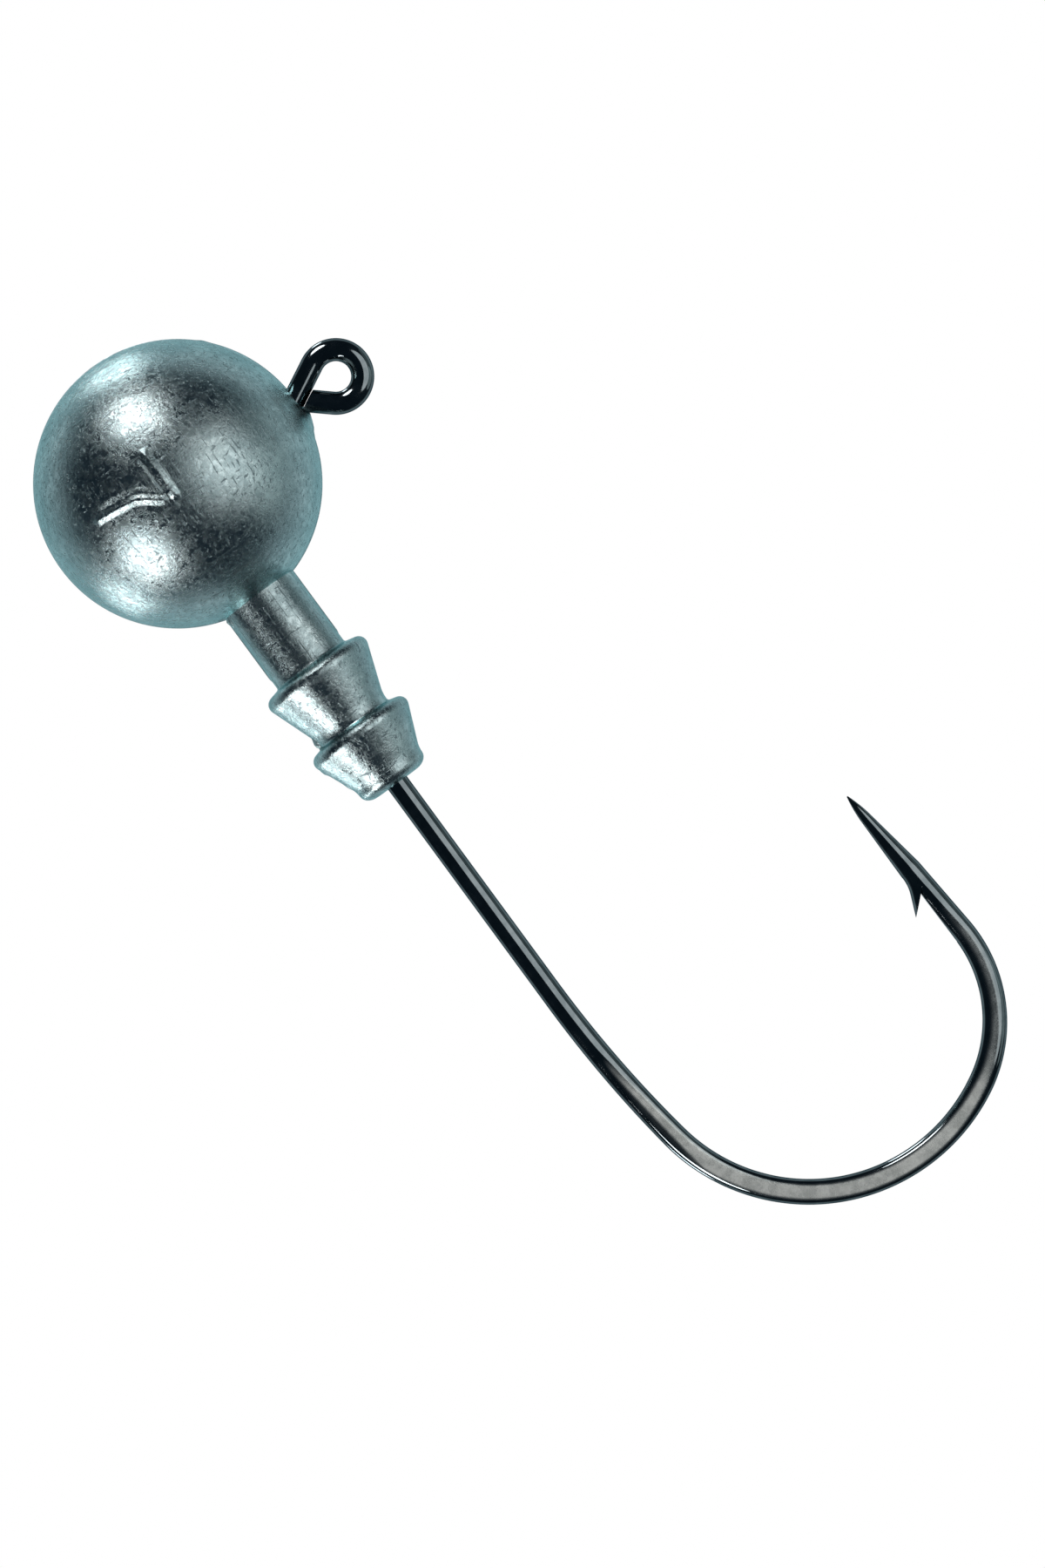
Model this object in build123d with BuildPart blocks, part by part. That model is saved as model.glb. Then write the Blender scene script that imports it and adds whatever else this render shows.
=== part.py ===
from build123d import *
import os
from math import sin, cos, tan, sqrt, radians

os.makedirs("parts", exist_ok=True)

# Jig head, all in mm.
# Origin: centre of the line eye. +X: along the shank towards the bend.
# +Z: up, from the shank to the eye and the point. The hook lies in the XZ plane.

# wire and line eye
wire_d = 1.30
loop_r = 1.50            # eye loop, to the wire's centre
land_depth = 0.05        # how far the bending mandrel flattens the inside of the loop
leg_lean = 27.0          # leg that runs down into the ball, degrees from upright
tail_lean = 41.3         # closing leg of the eye, degrees from upright
tail_gap = 0.05          # cut end of the wire to the leg
leg_bend_r = 2.0         # bend buried in the lead

# casting
ball_d = 16.1
eye_gap = 0.48           # underside of the eye loop to the top of the ball
eye_forward = 0.40       # eye centre ahead of the ball's centre, along X
stem_d = 4.6
stem_len = 4.57          # ball's surface to the first ring's shoulder
ring_d = 7.0             # across the first ring's crest, before it is rounded
ring_len = 3.58
neck_d = 4.62            # between the rings
neck_len = 0.5
tail_ring_d = 6.74       # across the second ring's crest, before it is rounded
tail_ring_len = 3.15
tail_d = 4.3
tail_len = 0.9
shoulder_lean = 0.28     # how far each ring's crest stands behind its shoulder's foot
crest_round = 0.6
crest_share = 0.6        # most of a ring's height that its rounding may take
tail_round = 0.55
root_round = 0.3
foot_round = 0.12

# shank, bend and point
shank_free = 14.7        # collar's end to the start of the bend
entry_r = 68.6
entry_turn = 8.7
bend_r = 10.65
bend_turn = 109.5
throat_r = 8.06
throat_turn = 66.3
point_run = 9.65         # end of the bend to the tip
forge_depth = 0.14       # how deep each forged flat goes
forge_spread = 0.15      # how much the forging widens the wire in the hook's plane
forge_run = 3.4          # length over which the flats run out
forge_lead = 4.1         # start of the bend to the start of the flats
tip_d = 0.07
nose_len = 1.7
nose_d = 0.68
nose_swell = 0.045       # how far the nose bulges from a straight cone
barb_at = 6.77           # barb's root from the tip
barb_depth = 0.22        # chisel cut into the wire at the root
barb_angle = 27.4
barb_back = 51.0
barb_out = 0.875         # how far the barb's tip stands off the wire
barb_curl = 3.0          # radius of the barb's root, to the wire's centre
cut_run = 3.4            # length over which the chisel cut runs out

# derived positions
wire_r = wire_d / 2
ball_r = ball_d / 2
bend_width = wire_d + forge_spread
mandrel_r = loop_r - wire_r + land_depth
ball_x = -eye_forward
shank_z = -(loop_r + wire_r + eye_gap + ball_r)
lean = radians(leg_lean)
tail_a = radians(tail_lean)
leg_top = (-loop_r * cos(lean), -loop_r * sin(lean))
corner_x = leg_top[0] + (leg_top[1] - shank_z) * tan(lean)
closing_a = lean + tail_a
tail_clear = wire_r + wire_r * cos(closing_a) + tail_gap
tail_run = (loop_r * (1 + cos(closing_a)) - tail_clear) / sin(closing_a)
tail_top = (loop_r * cos(tail_a), -loop_r * sin(tail_a))
tail_end = (tail_top[0] - tail_run * sin(tail_a), tail_top[1] - tail_run * cos(tail_a))

stem_r = stem_d / 2
ring_r = ring_d / 2
neck_r = neck_d / 2
tail_ring_r = tail_ring_d / 2
tail_r = tail_d / 2
stem_x = sqrt(ball_r ** 2 - stem_r ** 2)
ring_x = ball_r + stem_len
neck_x = ring_x + ring_len
tail_ring_x = neck_x + neck_len
tail_x = tail_ring_x + tail_ring_len
collar_end = tail_x + tail_len
bend_x = ball_x + collar_end + shank_free

# hook: line eye, leg and shank in round wire
with BuildLine(Plane.XZ) as wire_path:
    closing = Line(tail_end, tail_top)
    loop = CenterArc((0, 0), loop_r, -tail_lean, 180 + leg_lean + tail_lean)
    leg = FilletPolyline(leg_top, (corner_x, shank_z), (bend_x, shank_z), radius=leg_bend_r)

# hook: forged bend
with BuildLine(Plane.XZ) as bend_path:
    entry = JernArc((bend_x, shank_z), (1, 0), entry_r, entry_turn)
    belly = JernArc(entry @ 1, entry % 1, bend_r, bend_turn)
    throat = JernArc(belly @ 1, belly % 1, throat_r, throat_turn)


def across(line, at):
    """Plane square to the wire, with x in the hook's plane."""
    along = line % at
    return Plane(line @ at, x_dir=(-along.Z, 0, along.X), z_dir=along)


# point's own frame: x from the tip back along the wire, y towards the shank
back = -(throat % 1)
tip = throat @ 1 - back * point_run
point_frame = Plane(tip, x_dir=back, z_dir=(0, 1, 0))
barb_tip_y = wire_r + barb_out
root_y = wire_r - barb_depth
barb_tip_x = barb_at + (barb_tip_y - root_y) / tan(radians(barb_back))
barb_slope = tan(radians(barb_angle))
barb_corner = barb_tip_x - (barb_tip_y - wire_r / cos(radians(barb_angle))) / barb_slope
barb_far = barb_corner + barb_curl + wire_d
taper_x = barb_corner - barb_curl * tan(radians(barb_angle) / 2)
flat_y = wire_r - forge_depth
flat_start = bend_x + forge_lead
flat_x = flat_start + forge_run
slab_x = (belly @ 1).X + bend_r + bend_width
slab_z = (throat @ 0).Z + throat_r + 2 * bend_width - shank_z

# the barb is a sliver of the wire, bent out of it and cut off by the chisel
with BuildPart() as barb:
    with BuildLine(point_frame) as barb_path:
        curl = JernArc((taper_x, 0), (1, 0), barb_curl, barb_angle)
        Line(curl @ 1, curl @ 1 + (curl % 1) * barb_curl)
    with BuildSketch(Plane(curl @ 0, x_dir=(0, 1, 0), z_dir=curl % 0)):
        Circle(wire_r)
    sweep(path=barb_path.line)
    with BuildSketch(point_frame):
        with BuildLine():
            Polyline((barb_at, root_y), (barb_far, root_y + (barb_far - barb_at) * tan(radians(barb_back))),
                     (barb_far, -wire_d), (barb_at, -wire_d), (barb_at, root_y))
        make_face()
    extrude(amount=wire_d, both=True, mode=Mode.SUBTRACT)

with BuildPart() as hook:
    # eye, leg and shank in round wire
    with BuildSketch(across(closing, 0)):
        Circle(wire_r)
    sweep(path=wire_path.line)

    # the bend widens, stays wide and narrows again
    with BuildSketch(across(entry, 0)):
        Circle(wire_r)
    with BuildSketch(across(entry, 1)):
        Ellipse(bend_width / 2, wire_r)
    sweep(path=entry, multisection=True)
    with BuildSketch(across(belly, 0)):
        Ellipse(bend_width / 2, wire_r)
    sweep(path=belly)
    with BuildSketch(across(throat, 0)):
        Ellipse(bend_width / 2, wire_r)
    with BuildSketch(across(throat, 1)):
        Circle(wire_r)
    sweep(path=throat, multisection=True)

    # needle point, turned about the wire's own line
    with BuildSketch(point_frame):
        with BuildLine():
            Line((0, 0), (0, tip_d / 2))
            ThreePointArc((0, tip_d / 2), (nose_len / 2, (tip_d + nose_d) / 4 + nose_swell),
                          (nose_len, nose_d / 2))
            Polyline((nose_len, nose_d / 2), (taper_x, wire_r), (point_run, wire_r), (point_run, 0))
            Line((point_run, 0), (0, 0))
        make_face()
    revolve(axis=Axis(tip, back))

    # chisel cut behind the barb
    with BuildSketch(point_frame):
        with BuildLine():
            Polyline((barb_at, root_y), (barb_at + cut_run, wire_r), (barb_at + cut_run, wire_d),
                     (barb_at, wire_d), (barb_at, root_y))
        make_face()
    extrude(amount=wire_d, both=True, mode=Mode.SUBTRACT)

    add(barb.part)

    # flats that the bend was forged to, running out towards the shank and the point
    with BuildSketch(Plane.XY.offset(shank_z - wire_d)):
        with BuildLine():
            TangentArc((flat_x, flat_y), (flat_start, wire_r), tangent=(-1, 0))
            Polyline((flat_start, wire_r), (flat_start, wire_d), (slab_x, wire_d),
                     (slab_x, flat_y), (flat_x, flat_y))
        make_face()
        mirror(about=Plane.XZ)
    extrude(amount=slab_z, mode=Mode.SUBTRACT)

    # inside of the loop, flattened by the mandrel it was bent on
    Cylinder(mandrel_r, wire_d, rotation=(90, 0, 0), mode=Mode.SUBTRACT)


# casting: ball, stem and the two rings of the bait collar, turned as one outline
casting_frame = Plane((ball_x, 0, shank_z), x_dir=(1, 0, 0), z_dir=(0, 1, 0))
corners = [
    (stem_x, stem_r, root_round),
    (ring_x, stem_r, foot_round),
    (ring_x + shoulder_lean, ring_r, min(crest_round, crest_share * (ring_r - stem_r))),
    (neck_x, neck_r, root_round),
    (tail_ring_x, neck_r, foot_round),
    (tail_ring_x + shoulder_lean, tail_ring_r, min(crest_round, crest_share * (tail_ring_r - neck_r))),
    (tail_x, tail_r, root_round),
    (collar_end, tail_r, tail_round),
]

with BuildPart() as lead_head:
    with BuildSketch(casting_frame) as outline:
        Circle(ball_r)
        with BuildLine():
            Polyline((0, 0), (0, stem_r), (ring_x, stem_r), (ring_x + shoulder_lean, ring_r),
                     (neck_x, neck_r), (tail_ring_x, neck_r),
                     (tail_ring_x + shoulder_lean, tail_ring_r), (tail_x, tail_r),
                     (collar_end, tail_r), (collar_end, 0), (0, 0))
        make_face()
        with Locations((0, -ball_r)):
            Rectangle(2 * collar_end, 2 * ball_r, mode=Mode.SUBTRACT)
        for x, r, size in corners:
            fillet(outline.vertices().sort_by_distance((x, r))[0], size)
    revolve(axis=Axis((ball_x, 0, shank_z), (1, 0, 0)))
    add(hook.part, mode=Mode.SUBTRACT)

hook.part.label = "hook"
export_step(hook.part, "parts/hook.step")
lead_head.part.label = "lead_head"
export_step(lead_head.part, "parts/lead_head.step")
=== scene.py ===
import math
import bpy
import numpy as np
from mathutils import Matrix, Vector


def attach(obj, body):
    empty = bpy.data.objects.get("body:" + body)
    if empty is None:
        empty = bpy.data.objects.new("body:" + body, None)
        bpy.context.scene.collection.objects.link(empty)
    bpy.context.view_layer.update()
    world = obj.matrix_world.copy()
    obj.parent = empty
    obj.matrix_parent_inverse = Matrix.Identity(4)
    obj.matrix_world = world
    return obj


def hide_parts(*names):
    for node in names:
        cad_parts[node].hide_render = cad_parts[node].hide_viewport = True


# Jig head: one bent wire hook and one lead casting. Pieces are modelled in
# millimetres and brought down to metres as the last step of each.

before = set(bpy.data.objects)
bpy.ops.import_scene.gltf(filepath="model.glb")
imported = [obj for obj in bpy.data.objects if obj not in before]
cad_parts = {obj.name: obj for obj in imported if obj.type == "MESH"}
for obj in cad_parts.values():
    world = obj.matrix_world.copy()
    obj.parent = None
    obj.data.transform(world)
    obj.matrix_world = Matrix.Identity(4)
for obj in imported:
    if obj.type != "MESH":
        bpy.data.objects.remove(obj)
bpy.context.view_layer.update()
print("frame loaded")


def startFresh():
    if bpy.context.mode != "OBJECT":
        bpy.ops.object.mode_set(mode="OBJECT")
    bpy.ops.object.select_all(action="DESELECT")


def only(piece):
    startFresh()
    piece.select_set(True)
    bpy.context.view_layer.objects.active = piece


def places(piece):    # the vertices' coordinates, one row each
    flat = np.empty(len(piece.data.vertices) * 3)
    piece.data.vertices.foreach_get("co", flat)
    return flat.reshape(-1, 3)


def pick(piece, test):    # selects the vertices that pass the test, given x, y, z arrays
    only(piece)
    x, y, z = places(piece).T
    bpy.ops.object.mode_set(mode="EDIT")
    bpy.ops.mesh.select_mode(type="VERT")
    bpy.ops.mesh.select_all(action="DESELECT")
    bpy.ops.object.mode_set(mode="OBJECT")
    chosen = np.asarray(test(x, y, z), dtype=bool)
    piece.data.vertices.foreach_set("select", chosen)
    bpy.ops.object.mode_set(mode="EDIT")
    bpy.ops.mesh.select_mode(type="VERT")
    return int(chosen.sum())


def pickFaces(piece, test):    # selects the faces that pass the test, given their centres' x, y, z
    only(piece)
    bpy.ops.object.mode_set(mode="EDIT")
    bpy.ops.mesh.select_mode(type="FACE")
    bpy.ops.mesh.select_all(action="DESELECT")
    bpy.ops.object.mode_set(mode="OBJECT")
    flat = np.empty(len(piece.data.polygons) * 3)
    piece.data.polygons.foreach_get("center", flat)
    chosen = np.asarray(test(*flat.reshape(-1, 3).T), dtype=bool)
    piece.data.polygons.foreach_set("select", chosen)
    bpy.ops.object.mode_set(mode="EDIT")


def toMetres(piece, name):
    only(piece)
    bpy.ops.transform.resize(value=(0.001, 0.001, 0.001), center_override=(0, 0, 0))
    bpy.ops.object.transform_apply(location=True, rotation=True, scale=True)
    piece.name = piece.data.name = name


picture = {
    "centre": (24.54, -5.08),    # what the camera looks at, mm in the hook's plane
    "height": 87.66,             # of the view at the hook, mm
    "roll": 53.7,                # degrees that the camera is turned about its own line
    "lens": 150.0,
    "sensor": 36.0,
    "clip": (0.01, 20.0),
}

studio = {
    "centre": (0.010, 0.0, -0.008),
    "distance": 0.45,
    "floor": -0.55,
    "floorSize": 9.0,
    "floorColour": (0.86, 0.86, 0.86, 1),
    "floorFade": (0.05, 0.40, 0.25, 1.0),    # shadow near the head, plain white further out
    "air": (0.55, 0.56, 0.57),               # light all round on what is not metal
    "ahead": (0.012, 0.022, 0.032),          # what metal mirrors from in front
    "behind": (0.44, 0.55, 0.585),           # and from behind
    "turn": (0.10, 0.50),                    # where one passes into the other
    # name, direction from the head, width in degrees, strength, share of red
    "boxes": [("upperBox", (-0.899, -0.436, 0.050), 24, 7.5, 1.0),
              ("lowerBox", (0.455, -0.385, -0.803), 26, 7.8, 1.0),
              ("upperRim", (-0.856, 0.51, 0.09), 14, 8.5, 1.0),
              ("lowerRim", (0.385, 0.475, -0.791), 14, 8.5, 1.0),
              ("frontFill", (0.167, -0.764, 0.623), 53, 1.2, 0.96),
              ("sideFill", (0.56, -0.20, 0.80), 40, 0.42, 0.82),
              ("topFill", (0.13, 0.05, 1.0), 50, 0.16, 0.76)],
}


def setCamera(p):
    data = bpy.data.cameras.new("camera")
    data.lens = p["lens"]
    data.sensor_width = p["sensor"]
    data.sensor_fit = "AUTO"
    distance = p["height"] * p["lens"] / data.sensor_width / 1000
    camera = bpy.data.objects.new("camera", data)
    bpy.context.collection.objects.link(camera)
    camera.location = (p["centre"][0] / 1000, -distance, p["centre"][1] / 1000)
    camera.rotation_euler = (math.radians(90), -math.radians(p["roll"]), 0)
    data.clip_start, data.clip_end = p["clip"]
    bpy.context.scene.camera = camera


def addNode(tree, kind, **values):    # values are properties, or inputs where the node has no such property
    node = tree.nodes.new(kind)
    for name, value in values.items():
        if hasattr(node, name):
            setattr(node, name, value)
        else:
            node.inputs[name.replace("_", " ")].default_value = value
    return node


def feed(tree, source, node, name):
    tree.links.new(source, node.inputs[name])
    return node


def mathNode(tree, operation, a, b=0.0, clamp=False):
    node = addNode(tree, "ShaderNodeMath", operation=operation, use_clamp=clamp)
    for socket, value in zip(node.inputs, (a, b)):
        if isinstance(value, (int, float)):
            socket.default_value = value
        else:
            tree.links.new(value, socket)
    return node.outputs[0]


def rangeNode(tree, value, low, high, toLow=0.0, toHigh=1.0):
    node = addNode(tree, "ShaderNodeMapRange", interpolation_type="SMOOTHSTEP")
    tree.links.new(value, node.inputs[0])
    for socket, number in zip(node.inputs[1:5], (low, high, toLow, toHigh)):
        socket.default_value = number
    return node.outputs[0]


def blendColours(tree, factor, a, b, kind="MIX"):
    node = addNode(tree, "ShaderNodeMix", data_type="RGBA", blend_type=kind)
    for name, value in ((0, factor), (6, a), (7, b)):
        if isinstance(value, bpy.types.NodeSocket):
            tree.links.new(value, node.inputs[name])
        else:
            node.inputs[name].default_value = value if name == 0 else (*value, 1)
    return node.outputs[2]


def seenDirectly(tree):    # 1 for rays that show the background: from the camera, or off metal
    path = addNode(tree, "ShaderNodeLightPath")
    seen = mathNode(tree, "ADD", path.outputs["Is Camera Ray"], path.outputs["Is Transmission Ray"], True)
    return seen, path.outputs["Is Glossy Ray"]


def mirroredRoom(tree, towardsBack, s):    # 1 straight behind the object, -1 straight in front
    return blendColours(tree, rangeNode(tree, towardsBack, *s["turn"]), s["ahead"], s["behind"])


def makeStudio(s):
    # world: white for the camera, and for metal pale behind and dark in front
    world = bpy.data.worlds.new("studio")
    bpy.context.scene.world = world
    world.use_nodes = True
    tree = world.node_tree
    background = tree.nodes["Background"]
    seen, glossy = seenDirectly(tree)
    direction = addNode(tree, "ShaderNodeTexCoord")
    parts = feed(tree, direction.outputs["Generated"], addNode(tree, "ShaderNodeSeparateXYZ"), "Vector")
    light = blendColours(tree, glossy, s["air"], mirroredRoom(tree, parts.outputs["Y"], s))
    colour = blendColours(tree, seen, light, (1.0, 1.0, 1.0))
    feed(tree, colour, background, "Color")
    # floor, well below the hanging head; its far part runs out into the white
    startFresh()
    bpy.ops.mesh.primitive_plane_add(size=s["floorSize"], location=(s["centre"][0], 0, s["floor"]))
    floor = bpy.context.object
    floor.name = "floor"
    material = bpy.data.materials.new("paleFloor")
    material.use_nodes = True
    floor.data.materials.append(material)
    tree = material.node_tree
    shader = tree.nodes["Principled BSDF"]
    shader.inputs["Base Color"].default_value = s["floorColour"]
    shader.inputs["Roughness"].default_value = 0.9
    shader.inputs["Specular IOR Level"].default_value = 0.1
    coords = addNode(tree, "ShaderNodeTexCoord")
    length = addNode(tree, "ShaderNodeVectorMath", operation="LENGTH")
    away = feed(tree, coords.outputs["Object"], length, 0)
    far = rangeNode(tree, away.outputs["Value"], *s["floorFade"])
    seen, glossy = seenDirectly(tree)
    glow = addNode(tree, "ShaderNodeEmission", Color=(1, 1, 1, 1), Strength=1.0)
    mix = addNode(tree, "ShaderNodeMixShader")
    feed(tree, mathNode(tree, "MULTIPLY", seen, far), mix, "Fac")
    tree.links.new(shader.outputs[0], mix.inputs[1])
    tree.links.new(glow.outputs[0], mix.inputs[2])
    # off metal the floor is the same room as the world
    raised = addNode(tree, "ShaderNodeVectorMath", operation="ADD")
    raised.inputs[1].default_value = (0, 0, s["floor"])
    feed(tree, coords.outputs["Object"], raised, 0)
    unit = addNode(tree, "ShaderNodeVectorMath", operation="NORMALIZE")
    line = feed(tree, raised.outputs[0], unit, 0)
    parts = feed(tree, line.outputs[0], addNode(tree, "ShaderNodeSeparateXYZ"), "Vector")
    room = addNode(tree, "ShaderNodeEmission")
    feed(tree, mirroredRoom(tree, parts.outputs["Y"], s), room, "Color")
    whole = addNode(tree, "ShaderNodeMixShader")
    feed(tree, glossy, whole, "Fac")
    tree.links.new(mix.outputs[0], whole.inputs[1])
    tree.links.new(room.outputs[0], whole.inputs[2])
    tree.links.new(whole.outputs[0], tree.nodes["Material Output"].inputs["Surface"])
    for name, direction, width, strength, red in s["boxes"]:
        lamp = bpy.data.lights.new(name, "AREA")
        lamp.color = (red, 1, 1)
        lamp.shape = "DISK"
        lamp.size = 2 * s["distance"] * math.tan(math.radians(width / 2))
        lamp.energy = strength * math.pi * lamp.size ** 2 * math.pi / 4
        box = bpy.data.objects.new(name, lamp)
        bpy.context.collection.objects.link(box)
        towards = Vector(direction).normalized()
        box.location = Vector(s["centre"]) + towards * s["distance"]
        box.rotation_euler = towards.to_track_quat("Z", "Y").to_euler()
        box.visible_camera = False
    bpy.context.scene.view_settings.view_transform = "Standard"


hook = {
    "wire": 1.30,            # wire diameter
    "around": 48,            # sides of the wire
    "loopRadius": 1.50,      # eye loop, to the wire's centre
    "legLean": 27.0,         # leg into the ball, degrees from upright
    "tailLean": 41.3,        # closing leg of the eye
    "tailGap": 0.05,
    "tailExtra": 0.9,        # cropped again along the leg
    "tailSteps": 9,
    "loopSteps": 84,
    "legSteps": 20,
    "buriedBend": 2.0,
    "buriedSteps": 16,
    "shankDrop": 10.68,      # shank below the eye's centre
    "shankSteps": 40,
    "bendStart": 35.05,      # end of the straight shank
    "bends": [(68.6, 8.7, 26), (10.65, 109.5, 64), (8.06, 66.3, 40)],   # radius, turn, steps
    "spread": 1.45,          # width of the forged wire
    "forgedHalf": 0.51,      # half the thickness across the flats
    "forgeStart": 39.15,
    "forgeRun": 7.5,
    "pressSteps": 24,
    "throatFrom": 1.0,       # height at which the flats begin to fade
    "throatRun": 8.0,
    "limbFrom": 46.5,        # where they fade along the point's limb
    "limbRun": 4.0,
    "limbAbove": 6.0,
    "limbShare": 0.4,
    "edgeShares": (0.2, 0.45, 0.7),    # of the forged thickness, where the edges are eased
    "wornSheenDepth": 0.12,       # pressed this deep, the wire takes the full worn colour and its painted sheen
    "pointRun": 9.65,
    "limbSteps": 22,
    "taperSteps": 12,
    "noseLength": 1.7,
    "noseWidth": 0.68,
    "noseSwell": 0.045,
    "noseSteps": 14,
    "tipWidth": 0.07,
    "barbAt": 6.77,          # barb's root from the tip
    "barbDepth": 0.22,
    "barbAngle": 27.4,
    "barbBack": 51.0,
    "barbOut": 0.875,
    "barbCurl": 3.0,
    "barbRun": 3.0,
    "barbFit": 0.995,        # sliver's width beside the wire's
    "curlSteps": 14,
    "cutRun": 3.4,
    "chiselSize": (3.0, 2.0),    # width and height
    "sharp": 24,             # degrees from which an edge shows
}


def heading(degrees):    # direction in the hook's plane, 0 along the shank, 90 up
    a = math.radians(degrees)
    return Vector((math.cos(a), 0, math.sin(a)))


def pullRing(step, rings=1):
    for _ in range(rings):
        bpy.ops.mesh.extrude_edges_move(TRANSFORM_OT_translate={"value": step / rings})


def turnRing(centre, turn, steps):    # positive turns from the shank's line up
    side = 1 if turn > 0 else -1
    bpy.ops.mesh.spin(steps=steps, angle=math.radians(abs(turn)), center=centre, axis=(0, side, 0))


def sizeRing(factor, centre, across=None):    # across sizes the ring's thickness along Y
    bpy.ops.transform.resize(value=(factor, across or factor, factor), center_override=centre)


def cut(piece, tool, operation):
    only(piece)
    change = piece.modifiers.new("cut", "BOOLEAN")
    change.operation, change.object, change.solver = operation, tool, "MANIFOLD"
    bpy.ops.object.modifier_apply(modifier=change.name)
    bpy.data.objects.remove(tool)


def ease(t):
    t = np.clip(t, 0, 1)
    return t * t * (3 - 2 * t)


def forgeFlats(wire, h):    # pressed flat across the bend, running out towards the shank and the point
    half, full = h["forgedHalf"], h["wire"] / 2
    start, run = h["forgeStart"], h["forgeRun"]
    startFresh()
    before = places(wire)

    def level(x, z):    # half the thickness that the press leaves
        shank = half + (full - half) * np.clip((start + run - x) / run, 0, 1) ** 2
        climb = ease((z - h["throatFrom"]) / h["throatRun"])
        limb = ease((h["limbFrom"] - x) / h["limbRun"]) * (z > h["limbAbove"])
        throat = half + (full - half) * ((1 - h["limbShare"]) * climb + h["limbShare"] * limb)
        return np.maximum(shank, throat)

    steps = h["pressSteps"]
    for k in range(steps):
        low = half + (full - half) * k / steps
        high = half + (full - half) * (k + 1) / steps
        for side in (1, -1):
            if pick(wire, lambda x, y, z: (level(x, z) < high) & (level(x, z) >= low) & (y * side > low)):
                bpy.ops.transform.resize(value=(1, 0, 1), center_override=(0, side * low, 0))
    # edges of the flats are eased, most of all next to them
    for share in h["edgeShares"]:
        pick(wire, lambda x, y, z: (x > start - 1 + share) & (abs(y) > half * share)
             & (level(x - 1.5 + share, z) < full))
        bpy.ops.mesh.vertices_smooth(factor=0.5, repeat=2)
    bpy.ops.object.mode_set(mode="OBJECT")
    pressed = np.abs(before[:, 1]) - np.abs(places(wire)[:, 1])
    forged = wire.data.attributes.new("forged", "FLOAT", "POINT")
    forged.data.foreach_set("value", np.clip(pressed / h["wornSheenDepth"], 0, 1).astype(np.float32))


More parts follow.
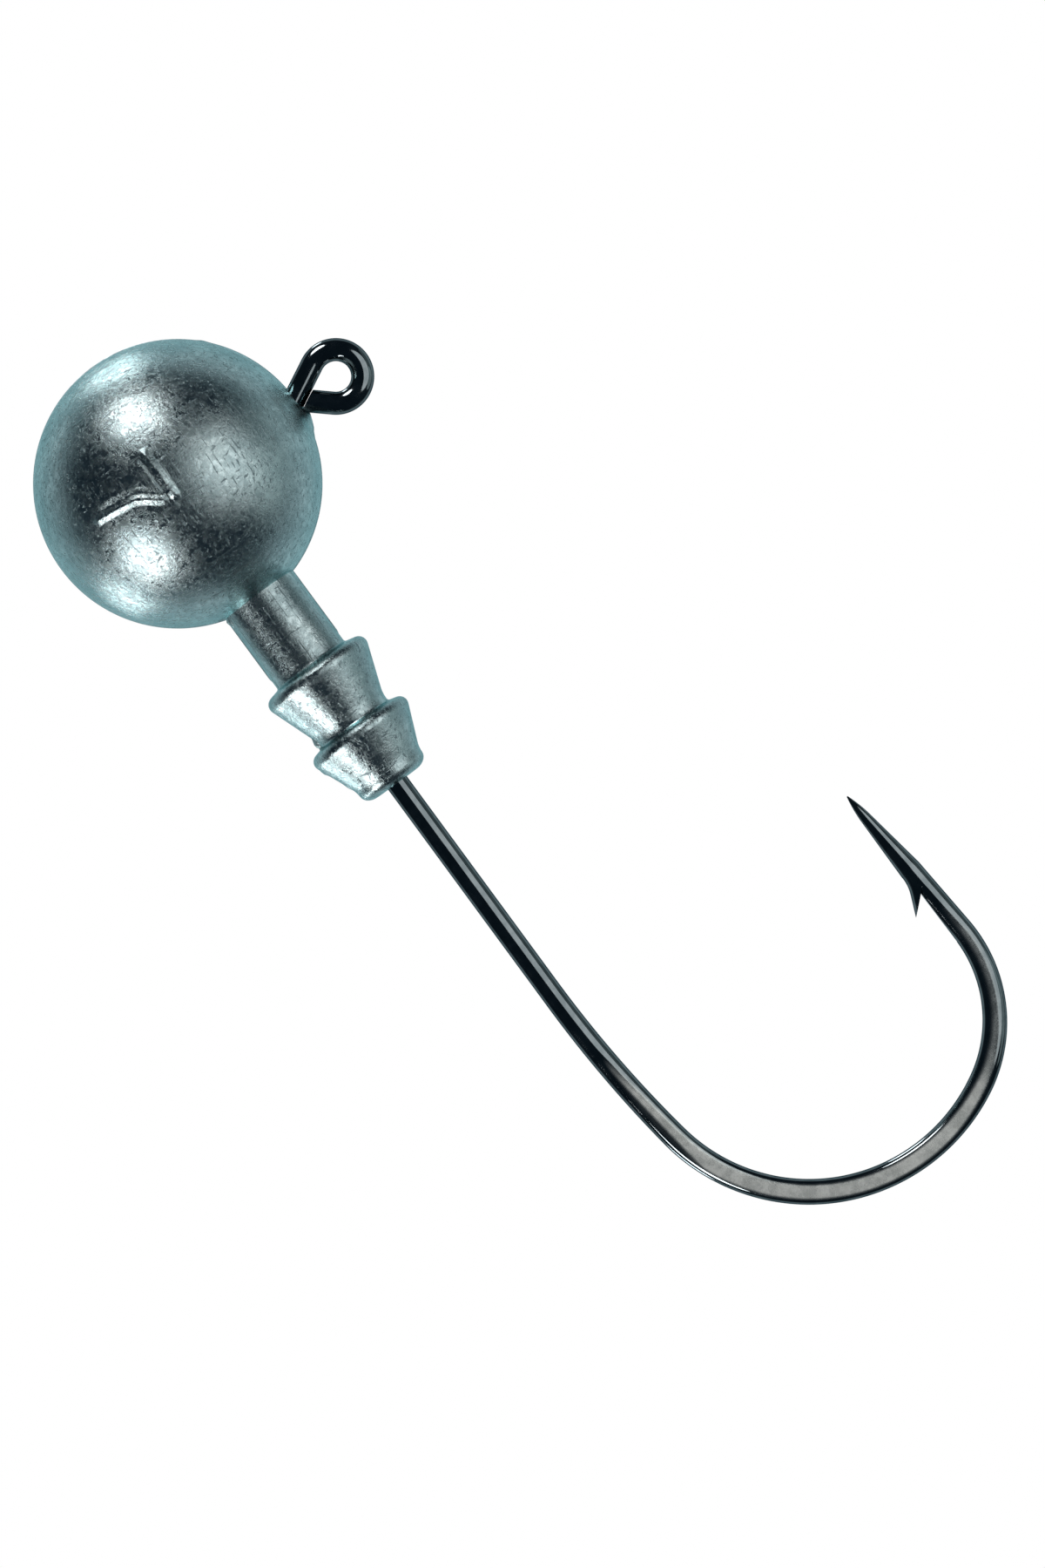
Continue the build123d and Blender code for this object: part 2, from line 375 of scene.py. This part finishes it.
def bendWire(h):
    r = h["wire"] / 2
    loop = h["loopRadius"]
    lean, tail = math.radians(h["legLean"]), math.radians(h["tailLean"])
    closing = lean + tail
    tailClear = r + r * math.cos(closing) + h["tailGap"]
    tailRun = (loop * (1 + math.cos(closing)) - tailClear) / math.sin(closing)
    tailTop = Vector((loop * math.cos(tail), 0, -loop * math.sin(tail)))
    up = heading(90 - h["tailLean"])
    startFresh()
    bpy.ops.mesh.primitive_circle_add(vertices=h["around"], radius=r, rotation=(0, tail, 0),
                                      location=tailTop - up * (tailRun + h["tailExtra"]))
    wire = bpy.context.object
    bpy.ops.object.transform_apply(location=True, rotation=True, scale=True)
    bpy.ops.object.mode_set(mode="EDIT")
    bpy.ops.mesh.select_all(action="SELECT")
    pullRing(up * (tailRun + h["tailExtra"]), h["tailSteps"])
    # the tail is cropped along the leg that it closes on
    legTop = Vector((-loop * math.cos(lean), 0, -loop * math.sin(lean)))
    down = heading(h["legLean"] - 90)
    beside = heading(h["legLean"])
    bpy.ops.mesh.select_all(action="SELECT")
    bpy.ops.mesh.bisect(plane_co=legTop + beside * (r + h["tailGap"]), plane_no=beside, clear_inner=True)
    pick(wire, lambda x, y, z: (x - tailTop.x) * up.x + (z - tailTop.z) * up.z > -0.001)    # last ring
    turnRing((0, 0, 0), 180 + h["legLean"] + h["tailLean"], h["loopSteps"])
    # leg into the ball, buried bend, shank
    cornerX = legTop.x + (h["shankDrop"] + legTop.z) * math.tan(lean)
    trim = h["buriedBend"] * math.tan(math.radians(90 - h["legLean"]) / 2)
    legRun = (h["shankDrop"] + legTop.z) / math.cos(lean) - trim
    pullRing(down * legRun, h["legSteps"])
    buriedCentre = (cornerX + trim, 0, -h["shankDrop"] + h["buriedBend"])
    turnRing(buriedCentre, 90 - h["legLean"], h["buriedSteps"])
    pullRing(Vector((h["bendStart"] - cornerX - trim, 0, 0)), h["shankSteps"])
    # round bend, each run on its own radius
    at, angle, width = Vector((h["bendStart"], 0, -h["shankDrop"])), 0.0, h["wire"]
    goals = (h["spread"], h["spread"], h["wire"])
    for (radius, turn, steps), goal in zip(h["bends"], goals):
        centre = at + heading(angle + 90) * radius
        grow = (goal / width) ** (1 / steps)
        for _ in range(steps):
            turnRing(centre, turn / steps, 1)
            angle += turn / steps
            at = centre - heading(angle + 90) * radius
            if grow != 1:
                sizeRing(grow, at, 1)
        width = goal
    # needle point
    along = heading(angle)
    run, tip = h["pointRun"], at + along * h["pointRun"]
    slope = math.tan(math.radians(h["barbAngle"]))
    barbRise = h["barbOut"] + h["barbDepth"]
    barbTip = Vector((h["barbAt"] + barbRise / math.tan(math.radians(h["barbBack"])), r + h["barbOut"]))
    barbCorner = barbTip.x - (barbTip.y - r / math.cos(math.radians(h["barbAngle"]))) / slope
    taperStart = barbCorner - h["barbCurl"] * math.tan(math.radians(h["barbAngle"]) / 2)
    pullRing(along * (run - taperStart), h["limbSteps"])
    nose, noseR, tipR = h["noseLength"], h["noseWidth"] / 2, h["tipWidth"] / 2
    taperSteps, noseSteps = h["taperSteps"], h["noseSteps"]
    stops = [taperStart + (nose - taperStart) * k / taperSteps for k in range(1, taperSteps + 1)]
    stops += [nose * (1 - k / noseSteps) for k in range(1, noseSteps + 1)]
    before, radiusNow = taperStart, r
    for u in stops:
        if u >= nose:
            radius = noseR + (r - noseR) * (u - nose) / (taperStart - nose)
        else:
            share = u / nose
            radius = tipR + (noseR - tipR) * share + 4 * h["noseSwell"] * share * (1 - share)
        pullRing(along * (before - u))
        sizeRing(radius / radiusNow, tip - along * u)
        before, radiusNow = u, radius
    bpy.ops.mesh.edge_face_add()
    bpy.ops.mesh.select_all(action="DESELECT")
    bpy.ops.mesh.select_non_manifold()
    bpy.ops.mesh.edge_face_add()    # cropped end of the wire
    bpy.ops.mesh.select_all(action="SELECT")
    bpy.ops.mesh.remove_doubles(threshold=0.0005)
    bpy.ops.mesh.normals_make_consistent(inside=False)
    forgeFlats(wire, h)
    print("wire bent and forged")
    return wire, tip, -along, taperStart


def cutBarb(wire, h, tip, back, taperStart):
    r = h["wire"] / 2
    inward = Vector((back.z, 0, -back.x))    # from the point towards the shank
    root = tip + back * h["barbAt"] + inward * (r - h["barbDepth"])
    backAngle = math.degrees(math.atan2(back.z, back.x))
    # wedge of the chisel
    slant = math.degrees(math.atan2(h["barbDepth"], h["cutRun"]))
    flat = heading(backAngle - slant)
    away = Vector((flat.z, 0, -flat.x))
    startFresh()
    length = h["cutRun"] / math.cos(math.radians(slant))
    width, height = h["chiselSize"]
    centre = root + flat * length / 2 + away * (height / 2)
    turn = (0, -math.radians(backAngle - slant), 0)
    bpy.ops.mesh.primitive_cube_add(size=1, location=centre, rotation=turn)
    chisel = bpy.context.object
    chisel.scale = (length, width, height)
    bpy.ops.object.transform_apply(location=True, rotation=True, scale=True)
    cut(wire, chisel, "DIFFERENCE")
    # sliver that the chisel raised
    start = tip + back * taperStart
    startFresh()
    bpy.ops.mesh.primitive_circle_add(vertices=h["around"], radius=r * h["barbFit"], location=start,
                                      rotation=(0, math.radians(90 - backAngle), 0))
    barb = bpy.context.object
    bpy.ops.object.transform_apply(location=True, rotation=True, scale=True)
    bpy.ops.object.mode_set(mode="EDIT")
    bpy.ops.mesh.select_all(action="SELECT")
    turnRing(start + inward * h["barbCurl"], -h["barbAngle"], h["curlSteps"])
    pullRing(heading(backAngle - h["barbAngle"]) * h["barbRun"], 3)
    bpy.ops.mesh.select_all(action="DESELECT")
    bpy.ops.mesh.select_non_manifold()
    bpy.ops.mesh.edge_face_add()
    bpy.ops.mesh.select_all(action="SELECT")
    slope = heading(backAngle - h["barbBack"])
    bpy.ops.mesh.bisect(plane_co=root, plane_no=(-slope.z, 0, slope.x), use_fill=True,
                        clear_inner=False, clear_outer=True)
    bpy.ops.mesh.select_all(action="SELECT")
    bpy.ops.mesh.normals_make_consistent(inside=False)
    bpy.ops.object.mode_set(mode="OBJECT")
    cut(wire, barb, "UNION")
    print("barb raised")


lead = {
    "centre": (-0.40, -10.68),    # ball's centre in the hook's plane
    "ballRadius": 8.05,
    "stemRadius": 2.30,
    "rings": [(12.62, 3.50, 16.20, 2.31), (16.70, 3.37, 19.85, 2.15)],   # shoulder, crest, taper's end
    "lean": 0.28,                 # crest behind its shoulder's foot
    "end": 20.75,
    # roundings, each with its steps
    "crestRound": (0.6, 9),
    "rootRound": (0.3, 5),
    "footRound": (0.12, 4),
    "endRound": (0.8, 7),
    "ballSteps": 118,
    "around": 240,
    "divide": ((1.6, 9, 22), (0.9, 1.6, 8), (0.35, 0.9, 4)),    # straight runs: from, up to, cuts
    "flash": 0.045,               # height of the mould's parting line
    "flashReach": 4.0,            # how far the line runs past the ball
    "creaseDisc": (-0.4, -1.9),    # middle of the ball's finer mesh
    "creaseReach": 3.6,
    "smoothReach": 3.3,
    "creaseCuts": 3,
    # casting creases on the ball's side: points in the hook's plane, width, height
    "creases": [([(-1.85, -0.40), (-0.6, -0.36), (0.86, -0.36)], 0.34, 0.15),
                ([(-1.75, -0.72), (-0.5, -0.70), (0.40, -0.66)], 0.24, -0.08),
                ([(0.80, -1.02), (0.25, -1.72), (-0.15, -2.31), (-0.36, -3.51), (-0.51, -4.62)],
                 0.31, 0.10),
                ([(0.45, -0.95), (-0.42, -1.9), (-0.62, -3.0), (-0.80, -4.1)], 0.30, -0.045),
                ([(-0.28, -1.01), (-0.94, -2.28), (-1.13, -3.65)], 0.16, 0.018)],
    # nibs of flash: place, reach, height
    "nibs": [((16.35, -0.25, -2.30), 0.42, 0.30),
             ((17.9, -0.1, -2.95), 0.35, 0.07),
             ((19.3, -0.3, -2.3), 0.4, 0.06),
             ((7.95, -0.6, -2.35), 0.50, 0.16),
             ((-5.6, -0.05, 5.75), 0.45, 0.05)],
    "legAt": 1.25,                # where the hook's leg enters, along X
    "skinAbove": 6.0,
    "skinReach": 1.15,
    "skinHeight": 0.30,
    "sharp": 35,
}
elsewhere = 99.0    # added to a distance, it keeps a place out of reach


def roundCorner(piece, x, z, size, steps):
    pick(piece, lambda px, py, pz: (abs(px - x) < 1e-3) & (abs(pz - z) < 1e-3))
    bpy.ops.mesh.bevel(offset=size, offset_type="OFFSET", segments=steps, affect="VERTICES")


def lineDistance(x, z, points):
    best = np.full(x.shape, 1e9)
    for (ax, az), (bx, bz) in zip(points, points[1:]):
        run = np.array([bx - ax, bz - az])
        t = np.clip(((x - ax) * run[0] + (z - az) * run[1]) / (run @ run), 0, 1)
        best = np.minimum(best, np.hypot(x - ax - t * run[0], z - az - t * run[1]))
    return best


def swell(piece, near, width, height, bands=5):    # a rounded ridge, or a groove if height is negative
    for k in range(bands):
        reach = width * (1 - (k + 0.5) / bands)
        if pick(piece, lambda x, y, z: near(x, y, z) < reach):
            bpy.ops.transform.shrink_fatten(value=height / bands)


def castHead(h):
    radius, stem = h["ballRadius"], h["stemRadius"]
    startFresh()
    bpy.ops.mesh.primitive_plane_add(size=1, location=(-radius, 0, 0))
    head = bpy.context.object
    bpy.ops.object.transform_apply(location=True, rotation=True, scale=True)
    bpy.ops.object.mode_set(mode="EDIT")
    bpy.ops.mesh.select_all(action="SELECT")
    bpy.ops.mesh.merge(type="CENTER")
    # outline from the back of the ball to the end of the collar
    bpy.ops.mesh.select_mode(type="VERT")
    bpy.ops.mesh.select_all(action="SELECT")
    turn = 180 - math.degrees(math.asin(stem / radius))
    turnRing((0, 0, 0), -turn, h["ballSteps"])
    corners = []
    foot = stem
    for shoulder, crest, taperEnd, taperFoot in h["rings"]:
        corners.append((shoulder, foot, *h["footRound"]))
        corners.append((shoulder + h["lean"], crest, *h["crestRound"]))
        corners.append((taperEnd, taperFoot, *h["rootRound"]))
        foot = taperFoot
    corners.append((h["end"], foot, *h["endRound"]))
    points = [(math.sqrt(radius ** 2 - stem ** 2), stem)]
    points += [(x, z) for x, z, _, _ in corners]
    points.append((h["end"], 0))
    for (x, z), (nextX, nextZ) in zip(points, points[1:]):
        step = Vector((nextX - x, 0, nextZ - z))
        bpy.ops.mesh.extrude_vertices_move(TRANSFORM_OT_translate={"value": step})
    bpy.ops.object.mode_set(mode="OBJECT")
    for x, z, size, steps in corners:
        roundCorner(head, x, z, size, steps)
        bpy.ops.object.mode_set(mode="OBJECT")
    # the long straight runs are divided before the outline is turned
    only(head)
    bpy.ops.object.mode_set(mode="EDIT")
    bpy.ops.mesh.select_mode(type="EDGE")
    bpy.ops.mesh.select_all(action="DESELECT")
    for low, high, cuts in h["divide"]:
        bpy.ops.object.mode_set(mode="OBJECT")
        spots = places(head)
        for edge in head.data.edges:
            a, b = edge.vertices
            edge.select = bool(low < np.linalg.norm(spots[a] - spots[b]) <= high)
        bpy.ops.object.mode_set(mode="EDIT")
        bpy.ops.mesh.subdivide(number_cuts=cuts)
        bpy.ops.mesh.select_all(action="DESELECT")
    bpy.ops.mesh.select_all(action="SELECT")
    bpy.ops.mesh.spin(steps=h["around"], angle=2 * math.pi, center=(0, 0, 0), axis=(1, 0, 0))
    bpy.ops.mesh.select_all(action="SELECT")
    bpy.ops.mesh.remove_doubles(threshold=0.0005)
    bpy.ops.mesh.normals_make_consistent(inside=False)
    print("head turned")
    return head


def ageHead(head, h):
    midX, midZ = h["creaseDisc"]
    # finer mesh where the creases lie
    pickFaces(head, lambda x, y, z: (np.hypot(x - midX, z - midZ) < h["creaseReach"]) & (y < 0))
    bpy.ops.mesh.subdivide(number_cuts=h["creaseCuts"])
    for points, width, height in h["creases"]:
        swell(head, lambda x, y, z: lineDistance(x, z, points) + elsewhere * (y > 0), width, height)
    pick(head, lambda x, y, z: (np.hypot(x - midX, z - midZ) < h["smoothReach"]) & (y < 0))
    bpy.ops.mesh.vertices_smooth(factor=0.5, repeat=2)
    # parting line left by the mould's two halves
    if pick(head, lambda x, y, z: (abs(y) < 0.02) & (x < h["ballRadius"] + h["flashReach"])):
        bpy.ops.transform.shrink_fatten(value=h["flash"])
    for (nx, ny, nz), reach, height in h["nibs"]:
        swell(head, lambda x, y, z: np.sqrt((x - nx) ** 2 + (y - ny) ** 2 + (z - nz) ** 2), reach, height)
    # skin of lead that climbs the wire
    swell(head, lambda x, y, z: np.sqrt((x - h["legAt"]) ** 2 * 0.8 + y ** 2)
          + elsewhere * (z < h["skinAbove"]), h["skinReach"], h["skinHeight"], 8)
    bpy.ops.object.mode_set(mode="OBJECT")
    print("head aged")


leadLook = {
    "edgeTint": (0.60, 0.87, 0.89, 1),
    "metal": ((0.41, 0.50, 0.51), (0.60, 0.69, 0.69)),
    "dull": (0.28, 0.36, 0.37),
    "dirt": (0.12, 0.16, 0.18),
    "bright": (0.80, 0.86, 0.86),
    "dullShare": 0.55,
    "dirtShare": 0.6,
    "brightShare": 0.7,
    "rough": (0.16, 0.29),
    "scratchRough": 0.18,
    # patterns: scale, detail, roughness, then the range of the noise that is kept
    "mottle": ((420, 6, 0.6), (0.35, 0.66)),
    "patches": ((2400, 6, 0.75), (0.38, 0.62)),
    "specks": ((5600, 5, 0.85), (0.58, 0.68)),
    "glints": ((6800, 4, 0.85), (0.55, 0.72)),
    "grain": (8500, 3, 0.85),
    # scratches: stretch and turn of their noise, range that is kept
    "scratch": (1, 3, 0.5),
    "scratches": [((350, 6200, 6200), (0, 0.5, 0.3), (0.63, 0.68)),
                  ((6000, 6000, 300), (0.5, 0.9, 0), (0.63, 0.68)),
                  ((420, 6400, 6400), (0, -0.75, 0.2), (0.65, 0.70))],
    # shares of the relief, its strength and height
    "grainRelief": 0.6,
    "patchRelief": 0.35,
    "scratchRelief": 0.5,
    "bump": (0.9, 0.000019),
}

nickelLook = {
    "edgeTint": (0.15, 0.21, 0.23, 1),
    "plated": ((0.175, 0.20, 0.21), (0.235, 0.26, 0.27)),
    # flats: bare steel's colour, lightened further as a painted sheen of light on the flats
    "wornAndSheen": ((0.60, 0.61, 0.58), (0.80, 0.80, 0.76)),
    "pitted": (0.25, 0.25, 0.24),
    "pitShare": 0.3,
    "wearAndSheenDulls": 0.35,                       # metallic look that the worn flats lose, so that their pale colour adds a painted sheen
    "forged": (0.08, 0.75),
    "fade": (0.0045, 0.0085, 1.0, 0.5),      # worn colour and painted sheen fainter towards the point, by height
    # where the flats begin, their outer side is still polished
    "slant": 0.13,
    "inward": (-0.01600, -0.01576, 0.1, 1.0),
    "settled": (0.0455, 0.0495),
    "fine": (4600, 4, 0.7),
    "broad": (1100, 5, 0.65),
    "pits": (0.42, 0.62),
    "clouds": (0.36, 0.64),
    "rough": (0.05, 0.10),
    "forgedRough": (0.20, 0.32),
    "relief": (0.04, 0.55),
    "bump": (0.6, 0.00002),
}


def newMaterial(name, look):
    material = bpy.data.materials.new(name)
    material.use_nodes = True
    tree = material.node_tree
    shader = tree.nodes["Principled BSDF"]
    shader.inputs["Specular Tint"].default_value = look["edgeTint"]
    coords = addNode(tree, "ShaderNodeTexCoord").outputs["Object"]
    return material, tree, shader, coords


def noise(tree, coords, scale, detail, rough, stretch=None, turn=None):
    node = addNode(tree, "ShaderNodeTexNoise", Scale=scale, Detail=detail, Roughness=rough)
    if stretch:
        spread = addNode(tree, "ShaderNodeMapping", Scale=stretch, Rotation=turn)
        feed(tree, coords, spread, "Vector")
        coords = spread.outputs[0]
    feed(tree, coords, node, "Vector")
    return node.outputs["Fac"]


def addRelief(tree, height, shader, look):
    strength, distance = look["bump"]
    bump = addNode(tree, "ShaderNodeBump", Strength=strength, Distance=distance)
    feed(tree, height, bump, "Height")
    feed(tree, bump.outputs[0], shader, "Normal")


def leadFinish(look):
    material, tree, shader, coords = newMaterial("castLead", look)
    shader.inputs["Metallic"].default_value = 1.0

    def pattern(name):
        kind, kept = look[name]
        return rangeNode(tree, noise(tree, coords, *kind), *kept)

    mottle, patches, specks, glints = [pattern(n) for n in ("mottle", "patches", "specks", "glints")]
    grain = noise(tree, coords, *look["grain"])
    lines = [rangeNode(tree, noise(tree, coords, *look["scratch"], stretch, turn), *kept)
             for stretch, turn, kept in look["scratches"]]
    scratches = mathNode(tree, "MAXIMUM", mathNode(tree, "MAXIMUM", lines[0], lines[1]), lines[2])
    colour = blendColours(tree, mottle, *look["metal"])
    dull = mathNode(tree, "MULTIPLY", patches, look["dullShare"])
    colour = blendColours(tree, dull, colour, look["dull"])
    dirt = mathNode(tree, "MULTIPLY", mathNode(tree, "MAXIMUM", specks, scratches), look["dirtShare"])
    colour = blendColours(tree, dirt, colour, look["dirt"])
    bright = mathNode(tree, "MULTIPLY", glints, look["brightShare"])
    feed(tree, blendColours(tree, bright, colour, look["bright"]), shader, "Base Color")
    rough = mathNode(tree, "ADD", rangeNode(tree, patches, 0, 1, *look["rough"]),
                     mathNode(tree, "MULTIPLY", scratches, look["scratchRough"]))
    feed(tree, rough, shader, "Roughness")
    height = mathNode(tree, "ADD", mathNode(tree, "MULTIPLY", grain, look["grainRelief"]),
                      mathNode(tree, "MULTIPLY", patches, look["patchRelief"]))
    cuts = mathNode(tree, "MULTIPLY", scratches, look["scratchRelief"])
    height = mathNode(tree, "SUBTRACT", height, cuts)
    addRelief(tree, height, shader, look)
    return material


def nickelFinish(look):
    material, tree, shader, coords = newMaterial("blackNickel", look)
    parts = feed(tree, coords, addNode(tree, "ShaderNodeSeparateXYZ"), "Vector")
    fine = noise(tree, coords, *look["fine"])
    broad = noise(tree, coords, *look["broad"])
    pressed = addNode(tree, "ShaderNodeAttribute", attribute_name="forged")
    forged = rangeNode(tree, pressed.outputs["Fac"], *look["forged"])
    fading = rangeNode(tree, parts.outputs["Z"], *look["fade"])
    pits = rangeNode(tree, fine, *look["pits"])
    clouds = rangeNode(tree, broad, *look["clouds"])
    plated = blendColours(tree, clouds, *look["plated"])
    wornAndSheen = blendColours(tree, clouds, *look["wornAndSheen"])
    wornAndSheen = blendColours(tree, mathNode(tree, "MULTIPLY", pits, look["pitShare"]), wornAndSheen, look["pitted"])
    slant = mathNode(tree, "MULTIPLY", parts.outputs["X"], look["slant"])
    inward = rangeNode(tree, mathNode(tree, "SUBTRACT", parts.outputs["Z"], slant), *look["inward"])
    settled = rangeNode(tree, parts.outputs["X"], *look["settled"])
    forged = mathNode(tree, "MULTIPLY", forged, mathNode(tree, "MAXIMUM", inward, settled))
    # forged flats: real wear, with a painted sheen in their pale colour and lowered metallic look
    wearAndSheen = mathNode(tree, "MULTIPLY", forged, fading)
    feed(tree, blendColours(tree, wearAndSheen, plated, wornAndSheen), shader, "Base Color")
    dulled = mathNode(tree, "MULTIPLY", wearAndSheen, look["wearAndSheenDulls"])
    feed(tree, mathNode(tree, "SUBTRACT", 1.0, dulled), shader, "Metallic")
    forgedRough = mathNode(tree, "MULTIPLY", forged, rangeNode(tree, pits, 0, 1, *look["forgedRough"]))
    rough = mathNode(tree, "ADD", rangeNode(tree, clouds, 0, 1, *look["rough"]), forgedRough)
    feed(tree, rough, shader, "Roughness")
    height = mathNode(tree, "MULTIPLY", fine, rangeNode(tree, forged, 0, 1, *look["relief"]))
    addRelief(tree, height, shader, look)
    return material


def dress(piece, material, node, sharp):
    piece.data.materials.clear()
    piece.data.materials.append(material)
    only(piece)
    bpy.ops.object.shade_smooth_by_angle(angle=math.radians(sharp))
    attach(piece, "root")
    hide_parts(node)


setCamera(picture)
makeStudio(studio)
print("studio ready")

hookWire, tip, back, taperStart = bendWire(hook)
cutBarb(hookWire, hook, tip, back, taperStart)
leadHead = castHead(lead)
ageHead(leadHead, lead)
only(leadHead)
leadHead.location = (lead["centre"][0], 0, lead["centre"][1])
bpy.ops.object.transform_apply(location=True, rotation=True, scale=True)
toMetres(hookWire, "hookWire")
toMetres(leadHead, "leadHead")
dress(hookWire, nickelFinish(nickelLook), "hook", hook["sharp"])
dress(leadHead, leadFinish(leadLook), "lead_head", lead["sharp"])
print("pieces dressed:", len(hookWire.data.polygons), len(leadHead.data.polygons))
